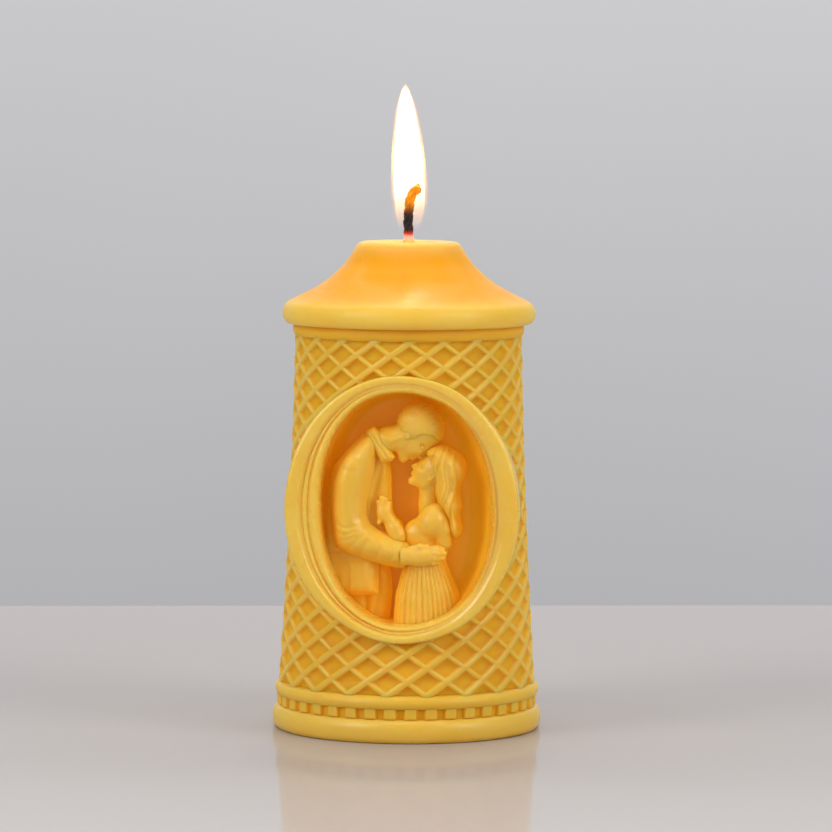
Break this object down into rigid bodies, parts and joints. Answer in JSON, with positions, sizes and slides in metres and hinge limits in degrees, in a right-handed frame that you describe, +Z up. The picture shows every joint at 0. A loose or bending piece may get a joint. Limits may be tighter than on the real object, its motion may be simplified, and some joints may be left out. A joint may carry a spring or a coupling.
{
  "type": "unity candle",
  "caption": "Lit pillar wedding candle of moulded wax with a roof cap, a raised diamond lattice and an oval framed niche holding a couple in relief",
  "frame": {"origin": "centre of the flat bottom face that the candle stands on", "axes": "+Z up along the wick, the medallion with the couple faces -Y, +X to the right of someone looking at the medallion"},
  "size_m": [0.06, 0.06, 0.1436],
  "materials": {
    "wax": "satin translucent yellow wax with a soft sheen",
    "wick": "charred plaited cotton",
    "molten_wax": "clear liquid wax film",
    "flame": "luminous gas"
  },
  "bodies": {
    "root": {"base_ring": "wax", "dentil_band": "wax", "string_course": "wax", "pillar_core": "wax", "lattice_ribs": "wax", "neck_bead": "wax", "roof_cap": "wax", "oval_frame": "wax", "groom_sleeve": "wax", "groom_hand": "wax", "bride_hand": "wax", "groom_collar": "wax", "groom_head": "wax", "groom_hair": "wax", "bride_head": "wax", "bride_hair": "wax", "bride_bodice": "wax", "bride_skirt": "wax", "groom_jacket": "wax", "groom_trousers": "wax", "wick": "wick", "melt_pool": "molten_wax", "flame": "flame"}
  },
  "joints": []
}
